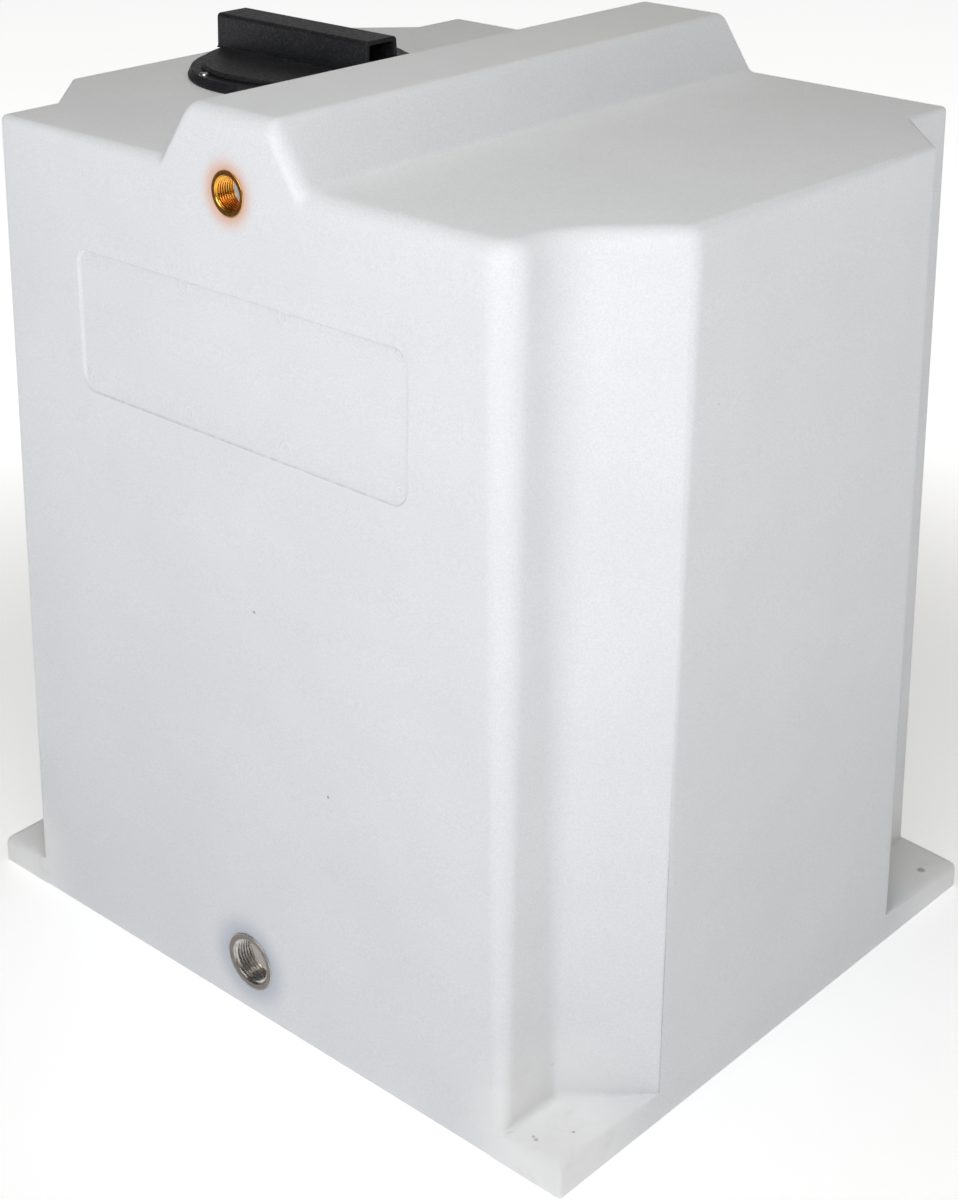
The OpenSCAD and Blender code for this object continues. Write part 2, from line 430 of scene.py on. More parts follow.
def rounded_rect(cx, cz, w, h, r, depth, steps=6):
    """A rounded rectangle in the front face, sunk by depth."""
    out = []
    for sx, sz, start in ((1, 1, 0), (-1, 1, 90), (-1, -1, 180), (1, -1, 270)):
        for k in range(steps + 1):
            a = math.radians(start + 90 * k / steps)
            x = cx + sx * (w / 2 - r) + r * math.cos(a)
            z = cz + sz * (h / 2 - r) + r * math.sin(a)
            out.append(Vector((x, front_y(z) + depth, z)))
    return out


def ring_verts(bm, pts):
    return [bm.verts.new(p) for p in pts]


def bridge(bm, a, b):
    """Faces between two closed rings of as many vertices."""
    n = len(a)
    for k in range(n):
        bm.faces.new((a[k], a[(k + 1) % n], b[(k + 1) % n], b[k]))


def make_object(bm, name, smooth_angle=40):
    """A closed mesh as an object, with edges sharper than smooth_angle, in degrees, kept sharp."""
    bmesh.ops.remove_doubles(bm, verts=bm.verts, dist=2e-7)
    bmesh.ops.delete(bm, geom=[e for e in bm.edges if not e.link_faces], context="EDGES")
    bmesh.ops.recalc_face_normals(bm, faces=bm.faces)
    limit = math.radians(smooth_angle)
    for f in bm.faces:
        f.smooth = True
    for e in bm.edges:
        if len(e.link_faces) == 2 and e.calc_face_angle(0) > limit:
            e.smooth = False
    mesh = bpy.data.meshes.new(name)
    bm.to_mesh(mesh)
    bm.free()
    obj = bpy.data.objects.new(name, mesh)
    bpy.context.scene.collection.objects.link(obj)
    mod = obj.modifiers.new("even_normals", "WEIGHTED_NORMAL")
    mod.keep_sharp = True
    mod.weight = 90
    return obj


PANEL_W, PANEL_H, PANEL_R = 292 * MM, 95 * MM, 11 * MM
PANEL_Z, PANEL_DEPTH = 0.465, 1.4 * MM
MOUTH_R = 67 * MM
SCREW_CIRCLE, SCREW_START, SCREW_COUNT = 75.5 * MM, math.radians(-108), 5
SCREW_BORE, RING_BORE = 1.8 * MM, 2 * MM
BOSS_WALL = 6.5 * MM

# the panel's step: share of its width, share of its depth, and how much painted shade its lower edge gets
PANEL_STEP = ((0, 0, 0), (0.1, 0.05, 1), (0.33, 0.28, 1), (0.66, 0.72, 0.3), (0.9, 0.96, 0), (1, 1, 0))
STEP_W, STEP_W_LEFT = 1.5 * MM, 3.2 * MM
# how strong the painted shade is along the panel's lower edge and along its upper edge
LINE_LOW, LINE_HIGH = 0.7, 0.16
# radius of the mould's parting line, and how much of it and of its painted shade still shows high up the tank
LINE_R, LINE_FADED = 0.22 * MM, 0.22


def panel(bm, painted_line_shade):
    """The shallow blank panel: rows of its step, from its outer loop to the loop of its floor."""
    rows = []
    for across, down, dark in PANEL_STEP:
        m, left = STEP_W * across, STEP_W_LEFT * across
        w, h = PANEL_W - m - left, PANEL_H - 2 * m
        ring = ring_verts(bm, rounded_rect((left - m) / 2, PANEL_Z, w, h, PANEL_R - m, PANEL_DEPTH * down))
        for v in ring:
            # painted shade on the step, strongest along the panel's lower edge
            edge = (v.co.z - PANEL_Z) / (PANEL_H / 2)
            v[painted_line_shade] = dark * (LINE_LOW * smooth(-edge * 4 - 3) + LINE_HIGH * smooth(edge * 4 - 3))
        rows.append(ring)
    for a, b in zip(rows, rows[1:]):
        bridge(bm, a, b)
    return rows[0], rows[-1]


def tank():
    """The moulded shell: outside, inside, panel, the seats of both inserts, the neck and the screw holes."""
    bm = bmesh.new()
    painted_line_shade = bm.verts.layers.float.new("painted_line_shade")
    outer, inner = Surface(bm, 0.0), Surface(bm, WALL)
    lip, floor = panel(bm, painted_line_shade)
    outer_front, inner_front = [lip], []
    for lo, hi in ((UPPER_LO, UPPER_HI), (LOWER_LO, LOWER_HI)):
        z, r = (lo.z + hi.z) / 2, (hi.z - lo.z) / 2
        seat, lip_r, steps = r + 0.05 * MM, r + 0.35 * MM, 64
        at = ring_verts(bm, circle_xz(0, z, lip_r, steps))
        bend = ring_verts(bm, [p + Vector((0, 0.3 * MM, 0)) for p in circle_xz(0, z, seat, steps)])
        end = ring_verts(bm, circle_xz(0, z, seat, steps, y=hi.y))
        wide = ring_verts(bm, circle_xz(0, z, r + BOSS_WALL, steps, y=hi.y))
        foot = ring_verts(bm, circle_xz(0, z, r + BOSS_WALL, steps, inset=WALL))
        for a, b in ((at, bend), (bend, end), (end, wide), (wide, foot)):
            bridge(bm, a, b)
        outer_front.append(at)
        inner_front.append(foot)
    top, under = [], []
    holes = [(NECK_X, 0.0, MOUTH_R, 96)]
    for x, y, _ in screw_spots():
        holes.append((x, y, SCREW_BORE, 16))
    for x, y, r, steps in holes:
        a = ring_verts(bm, circle_xy(x, y, SHOULDER, r, steps))
        b = ring_verts(bm, circle_xy(x, y, SHOULDER - WALL, r, steps))
        bridge(bm, a, b)
        top.append(a)
        under.append(b)
    outer.plane(floor, [])
    outer.build(outer_front, top)
    inner.build(inner_front, under)
    outer.bead(2)
    outer.bead(8)
    return make_object(bm, "tank_moulding", 30)


# ------------ turned parts
def turned(bm, rows, steps, place):
    """Rows of (radius, height) turned round +Z and placed by a matrix. A row may be a function of the
    share of a turn, which is how threads are cut. The last row joins the first, so the part is closed."""
    rings = []
    for row in rows:
        ring = []
        for k in range(steps + 1):
            a = 2 * math.pi * (k % steps) / steps
            r, z = row(k / steps) if callable(row) else row
            ring.append(bm.verts.new(place @ Vector((r * math.cos(a), r * math.sin(a), z))))
        rings.append(ring)
    for a, b in zip(rings, rings[1:] + rings[:1]):
        for k in range(steps):
            bm.faces.new((a[k], a[k + 1], b[k + 1], b[k]))


def arc(r, z, radius, start, end, steps=4):
    """(radius, height) pairs of a quarter round about (r, z), angles in degrees."""
    out = []
    for k in range(steps + 1):
        a = math.radians(lerp(start, end, k / steps))
        out.append((r + radius * math.cos(a), z + radius * math.sin(a)))
    return out


def helix(base, depth, start, end, pitch, crest, foot, fades, rows_per_turn):
    """Rows from start to end of a wall at radius base with a right-hand thread standing depth proud of it.
    Each row climbs one pitch a turn, so the thread's edges run along the mesh and meet another row at the
    seam. crest and foot are half the thread's width at its top and at the wall, as shares of the pitch.
    fades are the lengths over which the thread dies away at its start and end; 0 leaves that end open."""
    way = 1 if end > start else -1
    rows = []
    for j in range(math.ceil((abs(end - start) / pitch + 1) * rows_per_turn) + 1):

        def row(turn, j=j):
            climb = turn - 1 if way > 0 else turn
            free = start + (way * j / rows_per_turn + climb) * pitch
            z = min(max(free, min(start, end)), max(start, end))
            gaps = zip((abs(z - start), abs(end - z)), fades)
            share = min(smooth(gap / fade) if fade else 1.0 for gap, fade in gaps)
            f = abs((z / pitch - turn + 0.5) % 1.0 - 0.5)
            return base + depth * share * min(max((foot - f) / (foot - crest), 0.0), 1.0), z

        rows.append(row)
    return rows


def cut(obj, cutter):
    """Cuts one closed mesh out of another, and deletes the cutter."""
    mod = obj.modifiers.new("cut", "BOOLEAN")
    mod.operation, mod.solver, mod.object = "DIFFERENCE", "EXACT", cutter
    bpy.context.view_layer.update()
    dg = bpy.context.evaluated_depsgraph_get()
    mesh = bpy.data.meshes.new_from_object(obj.evaluated_get(dg))
    clean = bmesh.new()
    clean.from_mesh(mesh)
    bmesh.ops.remove_doubles(clean, verts=clean.verts, dist=1e-6)
    bmesh.ops.dissolve_verts(clean, verts=[v for v in clean.verts if len(v.link_edges) == 2])
    bmesh.ops.dissolve_degenerate(clean, dist=1e-6, edges=clean.edges)
    clean.to_mesh(mesh)
    clean.free()
    obj.modifiers.remove(mod)
    obj.data = mesh
    bpy.data.objects.remove(cutter)


def screw_spots():
    """Each screw's x and y, and the angle its recess is turned to."""
    for k in range(SCREW_COUNT):
        a = SCREW_START + 2 * math.pi * k / SCREW_COUNT
        yield NECK_X + SCREW_CIRCLE * math.cos(a), SCREW_CIRCLE * math.sin(a), a + 0.35 + 0.9 * k


def screw_places(z):
    """Each screw's frame, with its origin at height z."""
    for x, y, turn in screw_spots():
        yield Matrix.Translation((x, y, z)) @ Matrix.Rotation(turn, 4, "Z")


def screw_hole_cutter(lo, hi):
    """Plain rods, from lo to hi, that cut the screws' holes."""
    bm = bmesh.new()
    for place in screw_places(0):
        turned(bm, [(0, lo), (RING_BORE, lo), (RING_BORE, hi), (0, hi)], 24, place)
    return make_object(bm, "cutter")


def along_y(x, y, z):
    """A frame whose +Z runs along the tank's +Y."""
    return Matrix.Translation((x, y, z)) @ Matrix.Rotation(-math.pi / 2, 4, "X")


def insert(name, node, bore, pitch, depth, chamfer):
    """A threaded insert: face, chamfered mouth, V thread, keying groove outside."""
    lo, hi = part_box(node)
    z, r, length = (lo.z + hi.z) / 2, (hi.z - lo.z) / 2, hi.y - lo.y
    flush = front_y(z) - 0.15 * MM - lo.y
    groove, mouth = 1.5 * MM, flush + chamfer
    major, fade = bore + depth, pitch * 0.3
    rows = [(r - groove, length * 0.64), (r - groove, length * 0.36), (r, length * 0.3)]
    rows += arc(r - 0.5 * MM, flush + 0.5 * MM, 0.5 * MM, 0, -90)
    rows += [(major + chamfer + 0.2 * MM, flush), (major + chamfer, flush + 0.12 * MM)]
    rows += [(major + 0.1 * MM, mouth), (major, mouth + 0.15 * MM)]
    end = length - 0.5 * MM
    rows += helix(major, -depth, mouth + 0.2 * MM, end, pitch, 0.05, 0.45, (fade, fade), 20)
    rows += [(major, length - 0.4 * MM), (major + 0.4 * MM, length), (r - 0.4 * MM, length)]
    rows += [(r, length - 0.4 * MM), (r, length * 0.7)]
    bm = bmesh.new()
    turned(bm, rows, 180, along_y(0, lo.y, z))
    return make_object(bm, name, 40)


# the ring's bore and seat, the lid's thread and disc
LID_PITCH = 6 * MM
BORE_R, SEAT_R, SEAT_DEPTH = 62 * MM, 66 * MM, 2.4 * MM
THREAD_PROUD = 1.5 * MM
GAP = 0.3 * MM
RING_LEAN = 2.5 * MM
RING_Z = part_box("neck_gasket")[1].z
DISC_Z = RING_HI.z + GAP
DISC_T, DISC_R = 3.8 * MM, 71.5 * MM


def neck_ring():
    """The ring round the neck: an outside that leans in, a seat for the seal and the thread for the lid."""
    lo, hi = RING_LO.z, RING_HI.z
    outer = RING_HI.x - NECK_X
    top = outer - RING_LEAN
    skirt = MOUTH_R - 1 * MM
    seat = hi - SEAT_DEPTH
    rows = arc(skirt - 0.8 * MM, lo + 0.8 * MM, 0.8 * MM, -90, 0)
    rows += [(skirt, RING_Z), (outer - 0.3 * MM, RING_Z), (outer, RING_Z + 0.4 * MM)]
    rows += arc(top - 0.3 * MM, hi - 0.6 * MM, 0.6 * MM, 30, 90)
    rows += arc(SEAT_R + 0.4 * MM, hi - 0.4 * MM, 0.4 * MM, 90, 180)
    rows += [(SEAT_R, seat)]
    rows += helix(BORE_R, THREAD_PROUD + 0.3 * MM, seat, lo, LID_PITCH, 0.17, 0.31, (0, 0), 24)
    bm = bmesh.new()
    turned(bm, rows, 144, Matrix.Translation((NECK_X, 0, 0)))
    ring = make_object(bm, "neck_ring_moulding", 35)
    cut(ring, screw_hole_cutter(RING_Z - 1 * MM, hi + 1 * MM))
    return ring


def gasket():
    """The flat gasket under the ring, with the screws' holes."""
    lo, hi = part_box("neck_gasket")
    r = hi.x - NECK_X
    e = 0.35 * MM
    rows = arc(MOUTH_R + e, lo.z + e, e, 270, 180) + arc(MOUTH_R + e, hi.z - e, e, 180, 90)
    rows += arc(r - e, hi.z - e, e, 90, 0) + arc(r - e, lo.z + e, e, 0, -90)
    bm = bmesh.new()
    turned(bm, rows, 144, Matrix.Translation((NECK_X, 0, 0)))
    made = make_object(bm, "neck_gasket_rubber", 60)
    cut(made, screw_hole_cutter(lo.z - 1 * MM, hi.z + 1 * MM))
    return made


def seal():
    """The seal that rides under the lid's disc."""
    lo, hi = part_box("lid_seal")
    inner, outer = BORE_R + 0.02 * MM, hi.x - NECK_X
    e = 0.6 * MM
    mid = (inner + outer) / 2
    rows = arc(inner + e, lo.z + e, e, 270, 180) + arc(inner + e, hi.z - e, e, 180, 90)
    rows += [(mid, hi.z - 0.25 * MM)]
    rows += arc(outer - e, hi.z - e, e, 90, 0) + arc(outer - e, lo.z + e, e, 0, -90)
    bm = bmesh.new()
    turned(bm, rows, 144, Matrix.Translation((NECK_X, 0, 0)))
    return make_object(bm, "lid_seal_rubber", 60)


def screws():
    """The pan-head tapping screws with cross recesses."""
    head_r, head_h, shank_r, root_r = 3.45 * MM, 2.1 * MM, 1.72 * MM, 1.25 * MM
    length, pitch = 16 * MM, 1.34 * MM
    bm = bmesh.new()
    cutter = bmesh.new()
    for place in screw_places(RING_HI.z):
        rows = [(0, -length), (0.35 * MM, -length + 0.4 * MM), (root_r, -length + 2.6 * MM)]
        low, proud = -length + 2.7 * MM, shank_r - root_r
        rows += helix(root_r, proud, low, -0.6 * MM, pitch, 0.04, 0.3, (pitch, pitch), 8)
        rows += [(root_r, -0.5 * MM), (shank_r, 0), (head_r - 0.12 * MM, 0), (head_r, 0.14 * MM)]
        for k in range(7):
            a = math.radians(lerp(12, 84, k / 6))
            dome = (head_h - 0.25 * MM) * math.sin(a) ** 0.85
            rows.append((head_r * math.cos(a) ** 0.72, 0.25 * MM + dome))
        rows += [(head_r * 0.12, head_h), (0, head_h)]
        turned(bm, rows, 40, place)
        cross(cutter, place, head_h)
    obj = make_object(bm, "ring_screw_set", 35)
    cut(obj, make_object(cutter, "cutter"))
    return obj


def cross(bm, place, head_h):
    """The plug that cuts a cross recess into a head: a plus sign, narrower at its bottom."""
    reach, half, taper = 1.85 * MM, 0.36 * MM, 0.45
    plan = []
    for k in range(4):
        turn = Matrix.Rotation(k * math.pi / 2, 4, "Z")
        plan += [turn @ Vector(p) for p in ((reach, -half, 0), (reach, half, 0), (half, half, 0))]
    low = [bm.verts.new(place @ Vector((p.x * taper, p.y * taper, head_h - 1.05 * MM))) for p in plan]
    high = [bm.verts.new(place @ Vector((p.x, p.y, head_h + 1.35 * MM))) for p in plan]
    bridge(bm, low, high)
    bm.faces.new(low)
    bm.faces.new(high)


def lid():
    """Disc, threaded skirt and hollow bar handle."""
    z = DISC_Z
    skirt = BORE_R - GAP
    low = LID_LO.z
    e = 1.3 * MM
    rows = [(0, z + DISC_T), (DISC_R - 9 * MM, z + DISC_T)]
    rows += arc(DISC_R - e, z + DISC_T - e, e, 90, 0, 6)
    rows += [(DISC_R, z + 0.35 * MM), (DISC_R - 0.35 * MM, z)]
    rows += [(skirt + 0.25 * MM, z), (skirt, z - 0.25 * MM)]
    start, end, fade = z - 3.2 * MM, low + 1.5 * MM, 2 * MM
    rows += helix(skirt, THREAD_PROUD, start, end, LID_PITCH, 0.11, 0.24, (fade, fade), 24)
    inner = skirt - 4 * MM
    rows += [(skirt, low + 0.6 * MM), (skirt - 0.6 * MM, low)]
    rows += [(inner + 0.6 * MM, low), (inner, low + 0.6 * MM)]
    rows += [(inner, z - 1 * MM), (inner - 0.3 * MM, z - 0.3 * MM), (inner - 1 * MM, z), (0, z)]
    bm = bmesh.new()
    turned(bm, rows, 144, Matrix.Translation((NECK_X, 0, 0)))
    handle(bm, z + DISC_T)
    return make_object(bm, "lid_moulding", 35)


HANDLE_W, HANDLE_WALL, HANDLE_LEAN = 30.4 * MM, 3 * MM, 1 * MM


def handle(bm, z):
    """The bar handle: a channel upside down, open at both ends, every edge rounded."""
    h = LID_HI.z - z
    half = LID_HI.x - NECK_X
    foot = HANDLE_W / 2
    # the legs go a little into the disc; their first row above it stands just proud
    sink, proud = 0.5 * MM, 0.01 * MM

    def leg(y_foot, y_top, height, r, flare):
        """Points up one leg and round the top corner to the middle."""
        slope = (y_foot - y_top) / height
        pts = [(y_foot + flare, -sink), (y_foot + flare, proud)]
        pts += [(y_foot + flare * 0.3, flare * 0.3 + proud)]
        pts += [(y_foot - slope * 1.2 * MM, 1.2 * MM), (y_foot - slope * (height - r), height - r)]
        for k in range(1, 6):
            a = math.radians(90 * k / 6)
            pts.append((y_top - r + r * math.cos(a), height - r + r * math.sin(a)))
        pts += [(y_top - r, height), (y_top * 0.4, height), (0, height)]
        return pts

    def mirror(pts):
        """The chain of one leg carried on down the other."""
        return pts + [(-y, v) for y, v in pts[-2::-1]]

    outer = mirror(leg(foot, foot - HANDLE_LEAN, h, 2.6 * MM, 1.0 * MM))
    inner = mirror(leg(foot - HANDLE_WALL, foot - HANDLE_LEAN - HANDLE_WALL, h - HANDLE_WALL, 2.2 * MM, 0.0))

    def moved(pts, d):
        """The chain moved along its normals, outward for a positive d."""
        out = []
        for k, p in enumerate(pts):
            a, b = pts[max(k - 1, 0)], pts[min(k + 1, len(pts) - 1)]
            t = Vector((b[0] - a[0], b[1] - a[1]))
            n = Vector((t.y, -t.x)).normalized()
            grow = d if p[1] > proud / 2 else 0
            out.append((p[0] + n.x * grow, p[1] + n.y * grow))
        return out

    def end_round(r, way, angles):
        """Places along the bar and shifts of the chain that round its end."""
        turns = [math.radians(a) for a in angles]
        return [(half - r * (1 - math.sin(t)), way * r * (1 - math.cos(t))) for t in turns]

    stations = end_round(0.9 * MM, -1, (0, 22, 45, 68, 90))
    inside = end_round(0.5 * MM, 1, (90, 60, 30, 0))
    chains = []
    for x, d in [(-x, d) for x, d in stations[::-1]] + [(x, d) for x, d in stations]:
        chains.append([bm.verts.new((NECK_X + x, y, z + v)) for y, v in moved(outer, d)])
    back = []
    for x, d in inside + [(-x, d) for x, d in inside[::-1]]:
        back.append([bm.verts.new((NECK_X + x, y, z + v)) for y, v in moved(inner, d)])
    loop = chains + back
    for a, b in zip(loop, loop[1:] + loop[:1]):
        for k in range(len(a) - 1):
            bm.faces.new((a[k], a[k + 1], b[k + 1], b[k]))
    for side in (0, -1):
        under = [c[side] for c in loop]
        edges = []
        for a, b in zip(under, under[1:] + under[:1]):
            edges.append(bm.edges.get((a, b)))
        bmesh.ops.triangle_fill(bm, use_beauty=True, edges=edges)


# ------------ pieces
def place(obj, body, slot, *nodes):
    """Puts a piece on its body, names its material slot and hides the CAD nodes it stands for."""
    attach(obj, body)
    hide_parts(*nodes)
    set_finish(obj, slot)
    return obj


# the inserts' pipe threads: minor radius, pitch, depth, and the chamfer at the mouth
G_HALF = (9.315 * MM, 1.814 * MM, 1.162 * MM, 0.5 * MM)
G_ONE = (15.145 * MM, 2.309 * MM, 1.479 * MM, 0.8 * MM)
pieces = {
    "tank": place(tank(), "tank", "tank_plastic", "tank_shell"),
    "upper": place(insert("upper_insert_brass", "upper_insert", *G_HALF), "tank", "brass", "upper_insert"),
    "lower": place(insert("lower_insert_steel", "lower_insert", *G_ONE),
                   "tank", "stainless_steel", "lower_insert"),
    "gasket": place(gasket(), "tank", "seal_rubber", "neck_gasket"),
    "ring": place(neck_ring(), "tank", "black_plastic", "neck_ring"),
    "screws": place(screws(), "tank", "screw_steel", "ring_screws"),
    "seal": place(seal(), "seal", "seal_rubber", "lid_seal"),
    "lid": place(lid(), "lid", "black_plastic", "lid"),
}


# ------------ materials
class Nodes:
    """A short way to write a material's node tree."""

    def __init__(self, name):
        self.mat = bpy.data.materials.new(name)
        self.mat.use_nodes = True
        self.tree = self.mat.node_tree
        self.bsdf = self.tree.nodes["Principled BSDF"]
        self.coords = self.tree.nodes.new("ShaderNodeTexCoord").outputs["Object"]

    def link(self, source, socket):
        self.tree.links.new(source, socket)

    def put(self, value, socket):
        if isinstance(value, (int, float)):
            socket.default_value = value
        elif isinstance(value, tuple):
            short = len(value) < len(socket.default_value)
            socket.default_value = (*value, 1) if short else value
        else:
            self.link(value, socket)

    def noise(self, scale, detail, rough):
        node = self.tree.nodes.new("ShaderNodeTexNoise")
        node.inputs["Scale"].default_value = scale
        node.inputs["Detail"].default_value = detail
        node.inputs["Roughness"].default_value = rough
        self.link(self.coords, node.inputs["Vector"])
        return node.outputs["Fac"]

    def math(self, kind, a, b):
        node = self.tree.nodes.new("ShaderNodeMath")
        node.operation = kind
        self.put(a, node.inputs[0])
        self.put(b, node.inputs[1])
        return node.outputs[0]

    def ramp(self, value, lo, hi, out_lo=0.0, out_hi=1.0):
        """A smooth step from out_lo, where value is lo or less, to out_hi, where it is hi or more."""
        node = self.tree.nodes.new("ShaderNodeMapRange")
        node.interpolation_type = "SMOOTHSTEP"
        node.clamp = True
        self.put(value, node.inputs["Value"])
        for key, number in (("From Min", lo), ("From Max", hi), ("To Min", out_lo), ("To Max", out_hi)):
            node.inputs[key].default_value = number
        return node.outputs["Result"]

    def near(self, point, inside, outside):
        """1 within inside of a point, 0 beyond outside."""
        return self.near_far(point, inside, outside, 1.0, 0.0)

    def near_far(self, point, inside, outside, at_near, at_far):
        """A number that runs from at_near, within inside of a point, to at_far, beyond outside."""
        node = self.tree.nodes.new("ShaderNodeVectorMath")
        node.operation = "DISTANCE"
        self.link(self.coords, node.inputs[0])
        node.inputs[1].default_value = point
        return self.ramp(node.outputs["Value"], inside, outside, at_near, at_far)

    def folded(self, keep, middle, point):
        """Distance from a point, with the space folded about a middle so that one point stands for its
        mirror images. keep is 1 for each axis that counts."""
        node = self.tree.nodes.new("ShaderNodeVectorMath")
        node.operation = "MULTIPLY_ADD"
        self.link(self.coords, node.inputs[0])
        node.inputs[1].default_value = keep
        node.inputs[2].default_value = [-m for m in middle]
        fold = self.tree.nodes.new("ShaderNodeVectorMath")
        fold.operation = "ABSOLUTE"
        self.link(node.outputs[0], fold.inputs[0])
        away = self.tree.nodes.new("ShaderNodeVectorMath")
        away.operation = "DISTANCE"
        self.link(fold.outputs[0], away.inputs[0])
        away.inputs[1].default_value = point
        return away.outputs["Value"]

    def attribute(self, name):
        node = self.tree.nodes.new("ShaderNodeAttribute")
        node.attribute_name = name
        return node.outputs["Fac"]

    def specks(self, scale, size):
        """1 in small dots strewn at random, one to a cell."""
        node = self.tree.nodes.new("ShaderNodeTexVoronoi")
        node.inputs["Scale"].default_value = scale
        self.link(self.coords, node.inputs["Vector"])
        return self.ramp(node.outputs["Distance"], size * 0.5, size, 1.0, 0.0)

    def axis(self, name):
        node = self.tree.nodes.new("ShaderNodeSeparateXYZ")
        self.link(self.coords, node.inputs[0])
        return node.outputs[name]

    def mix(self, a, b, share):
        """Colour a turned towards colour b by share."""
        node = self.tree.nodes.new("ShaderNodeMix")
        node.data_type = "RGBA"
        self.put(share, node.inputs["Factor"])
        self.put(a, [s for s in node.inputs if s.name == "A" and s.type == "RGBA"][0])
        self.put(b, [s for s in node.inputs if s.name == "B" and s.type == "RGBA"][0])
        return [s for s in node.outputs if s.type == "RGBA"][0]

    def bump(self, *layers):
        """Layers of (height, distance), one on another."""
        normal = None
        for height, distance in layers:
            node = self.tree.nodes.new("ShaderNodeBump")
            node.inputs["Strength"].default_value = 1.0
            node.inputs["Distance"].default_value = distance
            self.link(height, node.inputs["Height"])
            if normal:
                self.link(normal, node.inputs["Normal"])
            normal = node.outputs["Normal"]
        self.link(normal, self.bsdf.inputs["Normal"])

    def set(self, **values):
        names = {"color": "Base Color", "rough": "Roughness", "metal": "Metallic", "sss": "Subsurface Weight",
                 "sss_scale": "Subsurface Scale", "specular": "Specular IOR Level"}
        for key, value in values.items():
            self.put(value, self.bsdf.inputs[names[key]])


# the middle of a corner foot, and the distances over which its painted light and its rubbed wear fade
FOOT_AT = (262 * MM, 212 * MM, FLANGE_T)
FOOT_FADE_START, FOOT_FADE_END = 22 * MM, 80 * MM
# the panel's eight round marks: distance sideways, with radius, and distance in height
MARK_COLUMNS, MARK_Z = ((43.5 * MM, 3.6 * MM), (138 * MM, 2.6 * MM)), 40.5 * MM
INNER_X, INNER_Y = HALF_W - RECESS_X, HALF_D - RECESS_Y
# small marks in the plastic: centre, radius and colour
MARKS = (
    ((INNER_X + 1 * MM, -INNER_Y - 1 * MM, 50 * MM), 2.6 * MM, (0.50, 0.45, 0.41)),
    ((INNER_X + 1 * MM, -INNER_Y - 1 * MM, 96 * MM), 1.6 * MM, (0.45, 0.40, 0.36)),
    ((262.6 * MM, -198.9 * MM, FLANGE_T), 1.1 * MM, (0.10, 0.08, 0.06)),
    ((266.9 * MM, 200.9 * MM, FLANGE_T), 4 * MM, (0.42, 0.33, 0.24)),
    ((247 * MM, -219 * MM, FLANGE_T), 1.6 * MM, (0.52, 0.47, 0.42)),
    ((250 * MM, -220 * MM, FLANGE_T), 1.9 * MM, (0.50, 0.44, 0.38)),
    ((13.9 * MM, front_y(310 * MM), 310 * MM), 1.3 * MM, (0.18, 0.16, 0.14)),
    ((79 * MM, front_y(203 * MM), 203 * MM), 1.3 * MM, (0.18, 0.16, 0.14)),
)
# a point on each insert's axis
UPPER_AXIS = (0, 0, (UPPER_LO.z + UPPER_HI.z) / 2)
LOWER_AXIS = (0, 0, (LOWER_LO.z + LOWER_HI.z) / 2)
# glow of the floor near the tank and far from it, and the world's light on the part
FLOOR_NEAR, FLOOR_FAR, WORLD_LIGHT = 0.40, 0.86, 0.045


def panel_marks(n):
    """Eight faint round marks, four along the panel's top and four along its bottom."""
    rounds = []
    for x, r in MARK_COLUMNS:
        away = n.folded((1, 0, 1), (0, 0, PANEL_Z + 2.5 * MM), (x, 0, MARK_Z))
        inner = n.ramp(away, r - 0.9 * MM, r)
        rounds.append(n.math("MULTIPLY", inner, n.ramp(away, r + 0.2 * MM, r + 1.1 * MM, 1.0, 0.0)))
    front = n.ramp(n.axis("Y"), -206 * MM, -200 * MM, 1.0, 0.0)
    return n.math("MULTIPLY", n.math("MAXIMUM", rounds[0], rounds[1]), front)


